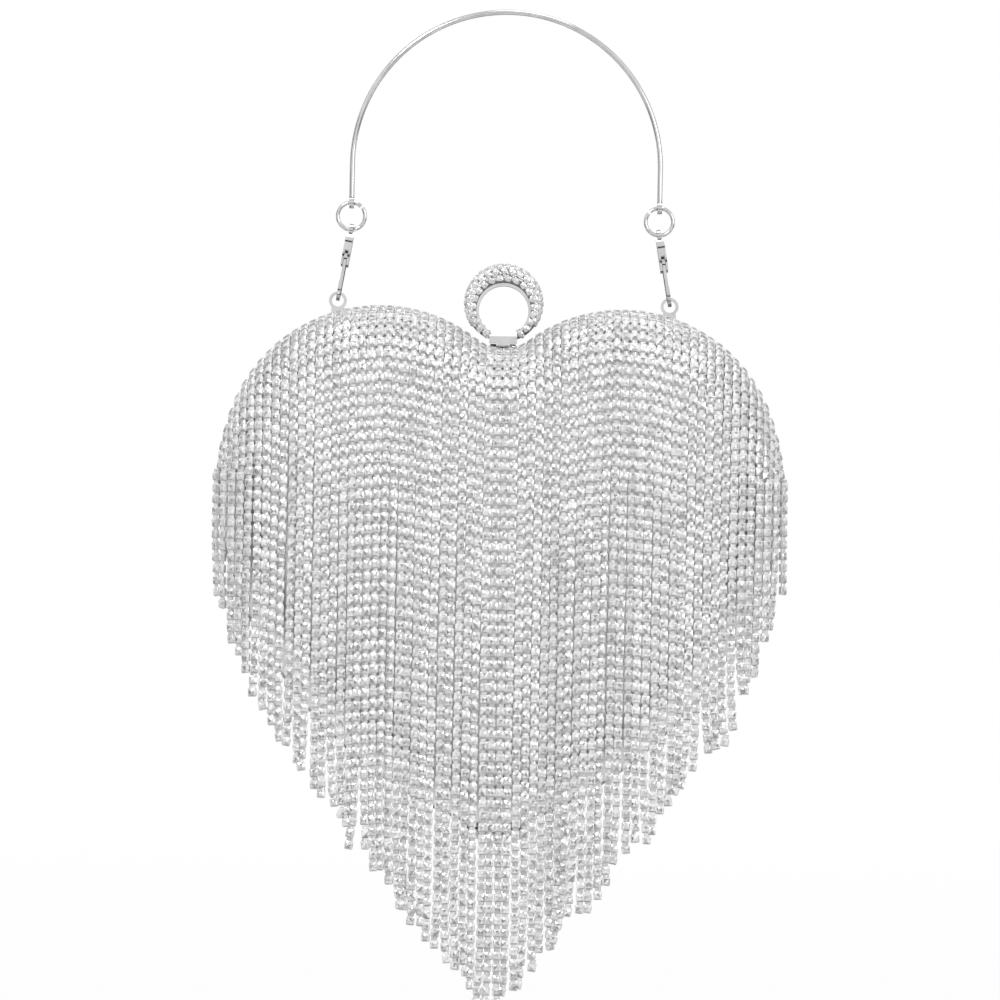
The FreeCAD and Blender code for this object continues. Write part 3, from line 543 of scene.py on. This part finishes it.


# The painted glint of each facet: a speckled table of painted reflections in a rim of painted highlight,
# with painted shade on its lower side

# a facet that faces straight out is part of the table, and one that faces down is the lower side, which is
# given the painted shade
paintedGlints = {"table": (0.1, 0.4, 0.7, 1.0), "tableShares": (0.17, 0.28, 0.3, 0.25), "rim": (0.65, 1.05),
        "shadedUnder": (0.15, 0.4), "metal": (0.6, 1.05), "strand": (0.88, 1.06), "stone": (0.86, 1.06),
        "straight": 0.99, "down": -0.3, "reach": 200}

# one glow for each millimetre across, so that the stones down a strand are alike
strandGlow = rng.uniform(*paintedGlints["strand"], 2 * paintedGlints["reach"])


# the metal's faces get a random painted glint, the crystal's facets painted reflections, highlight and
# shade
def facetGlint(kind, normal):
    if kind == 1:
        return rng.uniform(*paintedGlints["metal"])
    if normal[2] > paintedGlints["straight"]:
        return rng.choice(paintedGlints["table"], p=paintedGlints["tableShares"])
    return rng.uniform(*paintedGlints["shadedUnder" if normal[1] < paintedGlints["down"] else "rim"])


# a place is a setting's foot, its right, up and outward directions and its scale
def stampSettings(name, places, dullest=0.0):
    points = pattern["points"]
    corners, sides, slots, glints, spots = [], [], [], [], []
    start = 0
    for foot, right, up, out, scale in places:
        spots.append(foot + scale * (points[:, :1] * right + points[:, 1:2] * up + points[:, 2:] * out))
        glow = strandGlow[int(foot[0] + paintedGlints["reach"])] * rng.uniform(*paintedGlints["stone"])
        for face, kind, normal in zip(pattern["faces"], pattern["kinds"], pattern["normals"]):
            corners.extend(start + corner for corner in face)
            sides.append(len(face))
            slots.append(kind)
            glints.append(max(dullest, glow * facetGlint(kind, normal)))
        start += len(points)
    mesh = bpy.data.meshes.new(name)
    spots = np.concatenate(spots) * mm
    mesh.vertices.add(len(spots))
    mesh.vertices.foreach_set("co", spots.astype(np.float32).ravel())
    mesh.loops.add(len(corners))
    mesh.loops.foreach_set("vertex_index", np.array(corners, np.int32))
    mesh.polygons.add(len(sides))
    mesh.polygons.foreach_set("loop_start", np.concatenate([[0], np.cumsum(sides)[:-1]]).astype(np.int32))
    mesh.polygons.foreach_set("material_index", np.array(slots, np.int32))
    mesh.update(calc_edges=True)
    mesh.attributes.new("glint", "FLOAT", "FACE").data.foreach_set("value", np.array(glints, np.float32))
    mesh.validate()
    item = bpy.data.objects.new(name, mesh)
    scene.collection.objects.link(item)
    deselect()
    return item


def turned(right, up, out, twist, nod, lean):
    spin = Matrix.Rotation(twist, 3, Vector(up)) @ Matrix.Rotation(nod, 3, Vector(right))
    spin = np.array(spin @ Matrix.Rotation(lean, 3, Vector(out)))
    return spin @ right, spin @ up, spin @ out


# Strands glued down the domes, millimetres and degrees

strands = {"pitch": 2.95, "step": 4.05, "first": 1.5, "firstPlay": 0.15, "endRoom": 1.2, "lastTurn": 84,
           "coverWall": 0.4, "tilt": 2.5, "jitter": 0.05, "above": 40, "foot": -4.0, "fine": 0.05,
           "noFloor": -10}
origin = np.array(case["place"])
widest = case["halfWidth"] + strands["coverWall"]


# columns keep their pitch over the flat and round the rolled edge
def gluedColumns():
    roll = rollRadius(strands["coverWall"])
    flat = widest - roll
    count = int(flat / strands["pitch"] + 0.5)
    columns = [(i + 0.5) * strands["pitch"] for i in range(count)]
    turn = (columns[-1] + strands["pitch"] - flat) / roll
    while turn < math.radians(strands["lastTurn"]):
        columns.append(flat + roll * math.sin(turn))
        turn += strands["pitch"] / roll
    return columns


# heights and depths down one column of the cloth, and the way run along it
def columnPath(x, half):
    growth = strands["coverWall"]
    z = np.arange(case["cleftHeight"] + strands["above"], strands["foot"], -strands["fine"])
    inside = insideHeart(np.full(z.shape, x), z, growth)
    keep = inside > 0
    first = np.argmax(keep)
    last = len(keep) - np.argmax(keep[::-1])
    z = z[first:last]
    y = half * domeDepth(inside[first:last], growth)
    run = np.concatenate([[0], np.cumsum(np.hypot(np.diff(z), np.diff(y)))])
    return z, y, run


def outward(x, z, half):
    growth, reach = strands["coverWall"], strands["fine"]
    roll = rollRadius(growth)
    around = np.array([(0, 0), (reach, 0), (-reach, 0), (0, reach), (0, -reach)])
    inside, east, west, above, below = insideHeart(x + around[:, 0], z + around[:, 1], growth)
    slopeX, slopeZ = (east - west) / (2 * reach), (above - below) / (2 * reach)
    sideways = max(0.0, (roll - inside) / roll)
    straight = half * math.sqrt(max(0.0, 1 - sideways**2))
    return unit(np.array([-slopeX * sideways, straight, -slopeZ * sideways]))


def gluedPlace(x, z, y, tangent, half):
    out = outward(x, z, half)
    right = unit(np.cross(-tangent, out))
    up = np.cross(out, right)
    tilt = math.radians(strands["tilt"])
    right, up, out = turned(right, up, out, rng.normal(0, tilt), rng.normal(0, tilt), rng.normal(0, tilt))
    return (origin + np.array([x + rng.normal(0, strands["jitter"]), y, z]), right, up, out, 1.0)


# the stones of one column down to the floor, and the height of the last one
def gluedColumn(x, half, floor):
    z, y, run = columnPath(x, half)
    at = strands["first"] + rng.uniform(-strands["firstPlay"], strands["firstPlay"])
    places = []
    last = None
    while at < run[-1] - strands["endRoom"]:
        i = min(int(np.searchsorted(run, at)), len(z) - 2)
        if z[i] < floor:
            break
        tangent = unit(np.array([0.0, y[i + 1] - y[i], z[i + 1] - z[i]]))
        places.append(gluedPlace(x, z[i], y[i], tangent, half))
        last = z[i]
        at += strands["step"]
    return places, last


# Loose strands in front, millimetres and degrees

# twistShare, nod and tilt hold a value and what the strand's end adds; ragged and wave are ranges
fringe = {"length": 250.0, "taper": 0.49, "edgeTaper": 0.088, "edgePower": 8, "ragged": (-2.0, 3.0),
          "turnRoom": 0.5, "play": 0.3, "inset": 1.25, "faceOut": 0.8, "slim": 0.98, "lastGap": 0.5,
          "drift": 0.5, "driftWave": 0.11, "driftStart": 1.0, "sway": 0.12, "leanRun": 120,
          "wobble": 0.07, "wave": (30, 60), "cycle": 6.28, "freeRun": 30, "forward": 0.15, "swivel": 8.0,
          "curl": 1.1, "curlMost": 1.7, "curlRun": 28.0, "endRun": 14,
          "twist": 5.5, "twistShare": (0.6, 1.6), "nod": (3, 5), "tilt": (2.5, 5)}
# how many strands on each side leave the case at the same height, from the middle outwards
groups = {"centre": 4, "inner": 8, "middle": 7, "outer": 7, "side": 4, "edge": 4}
leaveAt = {group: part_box(f"fringe_{group}")[1].z / mm - case["place"][2] for group in groups}


def strandLength(x):
    out = abs(x) / case["halfWidth"]
    edge = fringe["edgeTaper"] * out**fringe["edgePower"]
    return fringe["length"] * (1 - fringe["taper"] * out - edge)


# the lengths of all strands are measured down from this height
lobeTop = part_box("fringe_centre")[0].z / mm - case["place"][2] + strandLength(strands["pitch"] / 2)


def groupAt(x):
    number = int(abs(x) / strands["pitch"])
    for group, count in groups.items():
        if number < count:
            return group
        number -= count
    return "edge"


# the cloth's depth a little nearer the middle, where a strand touches it
def coverFace(x):
    inside = widest - (abs(x) - fringe["inset"])
    return float(domeDepth(np.array(inside), strands["coverWall"]))


def towardsEnd(pair, share):
    return pair[0] + pair[1] * share


def looseStrand(x, start):
    bottom = lobeTop - strandLength(x) + rng.uniform(*fringe["ragged"])
    curl = fringe["curl"] * max(-fringe["curlMost"], min(fringe["curlMost"], rng.normal()))
    y = -(coverFace(x) + fringe["play"])
    side = max(0.0, 1 - (widest - abs(x)) / rollRadius(strands["coverWall"])) * fringe["faceOut"]
    facing = math.asin(min(side, fringe["faceOut"])) * math.copysign(1, x)
    ahead = np.array([math.sin(facing), -math.cos(facing), 0.0])
    drift = fringe["drift"] * math.sin(x * fringe["driftWave"] + fringe["driftStart"])
    lean = (drift + rng.normal(0, fringe["sway"])) / fringe["leanRun"]
    wave, phase = rng.uniform(*fringe["wave"]), rng.uniform(0, fringe["cycle"])
    swivel = rng.normal(0, fringe["swivel"])
    forward = abs(rng.normal(0, fringe["forward"]))
    places = []
    z = start
    while z > bottom - fringe["lastGap"]:
        hang = start - z
        loose = min(1.0, hang / fringe["freeRun"])
        ending = max(0.0, 1 - (z - bottom) / fringe["endRun"])
        stray = max(0.0, 1 - (z - bottom) / fringe["curlRun"])    # the last stones stray to one side
        dx = lean * hang + fringe["wobble"] * loose * math.sin(hang / wave * fringe["cycle"] + phase)
        dx += curl * stray**2
        up = unit(np.array([-lean - 2 * curl * stray / fringe["curlRun"], 0.0, 1.0]))
        right = unit(np.cross(up, ahead))
        out = np.cross(right, up)
        spread = fringe["twist"] * loose * towardsEnd(fringe["twistShare"], ending)
        twist = math.radians(swivel * loose + rng.normal(0, spread))
        nod = math.radians(rng.normal(0, towardsEnd(fringe["nod"], ending)))
        tilt = math.radians(rng.normal(0, towardsEnd(fringe["tilt"], ending)))
        right, up, out = turned(right, up, out, twist, nod, tilt)
        foot = origin + np.array([x + dx, y - forward * loose, z])
        places.append((foot, right * fringe["slim"], up, out, 1.0))
        z -= strands["step"]
    return places


# the front: glued down to each group's drop, loose below it
frontGlued = []
lastGlued = {}
for x in gluedColumns():
    floor = leaveAt[groupAt(x)] - fringe["turnRoom"]
    for side in (-1, 1):
        places, last = gluedColumn(side * x, -1, floor)
        frontGlued += places
        lastGlued[round(side * x, 2)] = last
frontStones = stampSettings("frontStones", frontGlued)
dress(frontStones, [crystalFinish, cupFinish], "front_half", ["front_stone_mat"])

for group in groups:
    places = []
    for i in range(sum(groups.values())):
        x = (i + 0.5) * strands["pitch"]
        if groupAt(x) != group:
            continue
        for side in (-1, 1):
            last = lastGlued.get(round(side * x, 2))
            start = last - strands["step"] if last else leaveAt[group] - fringe["turnRoom"]
            places += looseStrand(side * x, start)
    looseStones = stampSettings(f"{group}Fringe", places)
    dress(looseStones, [crystalFinish, cupFinish], f"fringe_{group}", [f"fringe_{group}"])
print("front strands hung", len(frontGlued), "glued")

# the back: glued all the way down
for name, side in (("Left", -1), ("Right", 1)):
    places = []
    for x in gluedColumns():
        places += gluedColumn(side * x, 1, strands["noFloor"])[0]
    backStones = stampSettings(f"back{name}Stones", places)
    dress(backStones, [crystalFinish, cupFinish], "back_half", ["back_stone_mat"])
    print("back strands", name, len(places))


# Crystals on the finger ring: staggered rows on each face and round the rim, grains and a dark bed of
# painted shade between

ringSet = {"hoop": 13.5, "hoopUp": 2.6, "half": 3.5, "round": 1.6, "sink": 0.12, "dullest": 0.5,
           "jitter": 0.06, "spin": 1.57}
# share across the band or distance off the rim's middle, reach and step in degrees, stone radius, shift
faceRows = [(0.27, 148, 15.0, 1.06, 0.5), (0.66, 112, 12.0, 1.02, 0.0), (0.93, 104, 12.0, 0.82, 0.5),
            (0.42, 118, 15.0, 0.38, 0.0), (0.53, 100, 12.0, 0.38, 0.5)]
rimRows = [(1.25, 122, 10.6, 0.95, 0.5)]
bedSet = {"start": 9.7, "reach": 150.0, "rise": 0.03, "thick": 0.06, "steps": (72, 9), "tone": (0.10, 0.24),
          "span": (0.3, 0.7), "grain": (1500.0, 3.0), "metal": 0.7, "rough": 0.35, "worn": 0.2}

bore = next(mount for mount in frame["record"]["mounts"] if mount["name"] == "finger_ring")
ringMiddle = np.array(bore["pos_m"]) / mm


# the hoop's own middle is higher than the bore's
def rimRadius(turn):
    across = ringSet["hoopUp"] * math.sin(turn)
    return ringSet["hoopUp"] * math.cos(turn) + math.sqrt(ringSet["hoop"]**2 - across**2)


# a spot on the ring's flat face or on the rounding of its edge, with the way it faces
def ringSpot(share, turn, face):
    radius = bedSet["start"] + share * (rimRadius(turn) - bedSet["start"])
    x, z = radius * math.sin(turn), radius * math.cos(turn)
    up = z - ringSet["hoopUp"]
    away = math.hypot(x, up)
    over = min(1.0, max(0.0, (away - ringSet["hoop"] + ringSet["round"]) / ringSet["round"]))
    flat = math.sqrt(1 - over**2)
    spot = np.array([x, face * (ringSet["half"] - ringSet["round"] * (1 - flat)), z])
    return ringMiddle + spot, np.array([x / away * over, face * flat, up / away * over])


def ringPlace(spot, normal, turn, stone):
    size = stone / setting["half"][0]
    along = np.array([math.cos(turn), 0.0, -math.sin(turn)])
    along = unit(along - normal * np.dot(along, normal))
    foot = spot - normal * (setting["cupRise"] * size - ringSet["sink"])
    jitter = rng.normal(0, ringSet["jitter"], 2)
    spin = rng.uniform(0, ringSet["spin"])
    right, up, out = turned(along, np.cross(normal, along), normal, *jitter, spin)
    return (foot, right, up, out, size)


def rowTurns(reach, step, shift):
    count = int(reach / step)
    turns = [(i + shift) * step for i in range(-count - 1, count + 1)]
    return [math.radians(turn) for turn in turns if abs(turn) <= reach]


ringPlaces = []
for face in (-1, 1):
    for share, reach, step, stone, shift in faceRows:
        for turn in rowTurns(reach, step, shift):
            ringPlaces.append(ringPlace(*ringSpot(share, turn, face), turn, stone))
    for y, reach, step, stone, shift in rimRows:
        for turn in rowTurns(reach, step, shift):
            radial = np.array([math.sin(turn), 0.0, math.cos(turn)])
            spot = ringMiddle + radial * ringSet["hoop"] + np.array([0.0, face * y, ringSet["hoopUp"]])
            ringPlaces.append(ringPlace(spot, radial, turn, stone))
ringStones = stampSettings("fingerRingStones", ringPlaces, ringSet["dullest"])
dress(ringStones, [crystalFinish, cupFinish], "latch", ["ring_stones"])


# the bed is a dark sheet laid over the ring, painted shade between the stones
def darkBed(name):
    metal = material(name)
    grain = metal.noise(*bedSet["grain"])
    low, high = bedSet["span"]
    dark, light = bedSet["tone"]
    tone = metal.tones(grain, (low, grey(dark)), (high, grey(light)))
    rough = bedSet["rough"] + bedSet["worn"] * grain
    return metal.surface(Base_Color=tone, Metallic=bedSet["metal"], Roughness=rough)


# the bed runs from the smooth inner rim over the face and the rounding to the middle of the rim
bedFinish = darkBed("paintedShadeBed")
for name, face in (("front", -1), ("back", 1)):
    turns, steps = bedSet["steps"]
    deselect()
    bpy.ops.mesh.primitive_grid_add(x_subdivisions=turns, y_subdivisions=steps, size=1)
    bed = bpy.context.object
    bed.name = bed.data.name = f"{name}RingBed"
    for vertex in bed.data.vertices:
        turn = 2 * vertex.co.x * math.radians(bedSet["reach"])
        share = (vertex.co.y + 0.5) * steps / (steps - 1)
        spot, normal = ringSpot(min(1.0, share), turn, face)
        if share > 1 + hair:    # the last row is past the rounding
            spot[1] = ringMiddle[1]
        vertex.co = Vector(spot + normal * bedSet["rise"]) * mm
    edit()
    if face > 0:
        bpy.ops.mesh.flip_normals()
    leaveEdit()
    bpy.ops.object.shade_smooth()
    thicken(bed, bedSet["thick"], -1.0)
    dress(bed, [bedFinish], "latch")
print("ring set", len(ringPlaces))


# The catch's return spring: a leaf from the bracket to the ring's base, bowed once along its height

springLeaf = {"thick": 0.25, "cuts": 6}

low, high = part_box("latch_spring")
leaf = modelBar((high.x - low.x, springLeaf["thick"] * mm, high.z - low.z), (low + high) / 2)
leaf.name = leaf.data.name = "catchSpring"
edit()
bpy.ops.mesh.subdivide(number_cuts=springLeaf["cuts"])
leaveEdit()
spare = high.y - low.y - springLeaf["thick"] * mm
for vertex in leaf.data.vertices:
    share = (vertex.co.z - low.z) / (high.z - low.z)
    vertex.co.y += spare * (math.sin(math.pi * share) - 0.5)
leaf.data.materials.append(chromeFinish)
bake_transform(leaf)
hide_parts("latch_spring")
print("spring bent")


# Floor, light and world: a fade is a distance and the share of plain white there

studio = {"floor": -0.46, "floorSize": 6, "floorCells": 8, "floorTone": 0.9, "floorRough": 0.9,
          "fadeFrom": (0.3, 0.94), "fadeTo": (2.4, 1.0), "ambient": 0.53, "aim": (0, 0, -0.18),
          "cardTone": 0.03}
# place, size and power
lamps = {"keyLamp": ((-0.6, -1.2, 1.0), 0.5, 12.0),
         "fillLamp": ((1.2, -1.3, 0.3), 0.8, 6.2),
         "topLamp": ((0.2, -0.2, 1.3), 0.7, 4.5)}
# place and size of the cards that the metal mirrors
cards = {"leftCard": ((-1.1, -0.4, -0.1), (0.5, 1.0)),
         "rightCard": ((1.1, -0.5, -0.1), (0.4, 1.0)),
         "lowCard": ((0.0, -0.9, -0.44), (1.2, 0.25)),
         "highCard": ((0.1, -1.0, 0.9), (1.2, 0.2))}

deselect()
bpy.ops.mesh.primitive_grid_add(size=studio["floorSize"], x_subdivisions=studio["floorCells"],
                                y_subdivisions=studio["floorCells"], location=(0, 0, studio["floor"]))
floor = bpy.context.object
floor.name = "paleFloor"
floorFinish = material("paleFloor")
floorFinish.surface(Base_Color=(*grey(studio["floorTone"]), 1), Roughness=studio["floorRough"])
seen = floorFinish.node("LightPath", out="Is Camera Ray")
away = floorFinish.node("VectorMath", {"operation": "LENGTH"}, {0: floorFinish.place()}, out="Value")
(near, nearShare), (far, farShare) = studio["fadeFrom"], studio["fadeTo"]
fade = floorFinish.node("MapRange", None, {0: away, 1: near, 2: far, 3: nearShare, 4: farShare})
glow = floorFinish.node("Emission", None, {"Color": (1, 1, 1, 1), "Strength": 1.0})
plain = Value(floorFinish, floorFinish.shader.outputs[0])
mixed = floorFinish.node("MixShader", None, {0: seen * fade, 1: plain, 2: glow})
floorFinish.feed(floorFinish.tree.nodes["Material Output"].inputs[0], mixed)
floor.data.materials.append(floorFinish.owner)

scene.world = bpy.data.worlds.new("paleStudio")
air = Finish(scene.world)
straight = air.node("LightPath", out="Is Camera Ray")
mirrored = air.node("LightPath", out="Is Glossy Ray")
direct = straight.combine("MAXIMUM", mirrored)
air.surface(Color=(1, 1, 1, 1), Strength=studio["ambient"] + (1 - studio["ambient"]) * direct)


def aimed(place, axis):
    return (Vector(studio["aim"]) - Vector(place)).to_track_quat(axis, "Y").to_euler()


def softbox(name, place, size, power):
    lamp = bpy.data.lights.new(name, "AREA")
    lamp.shape = "DISK"
    lamp.size = size
    lamp.energy = power
    item = bpy.data.objects.new(name, lamp)
    item.location = place
    item.rotation_euler = aimed(place, "-Z")
    scene.collection.objects.link(item)


def darkCard(name, place, size):
    deselect()
    bpy.ops.mesh.primitive_plane_add(size=1, location=place)
    card = bpy.context.object
    card.name = name
    card.scale = (*size, 1)
    card.rotation_euler = aimed(place, "Z")
    bpy.ops.object.transform_apply(location=True, rotation=True, scale=True)
    look = material(name)
    card.data.materials.append(look.surface(Base_Color=(*grey(studio["cardTone"]), 1), Roughness=1.0))
    for kind in ("visible_camera", "visible_shadow", "visible_diffuse"):
        setattr(card, kind, False)


for name, lamp in lamps.items():
    softbox(name, *lamp)
for name, card in cards.items():
    darkCard(name, *card)
print("studio lit")
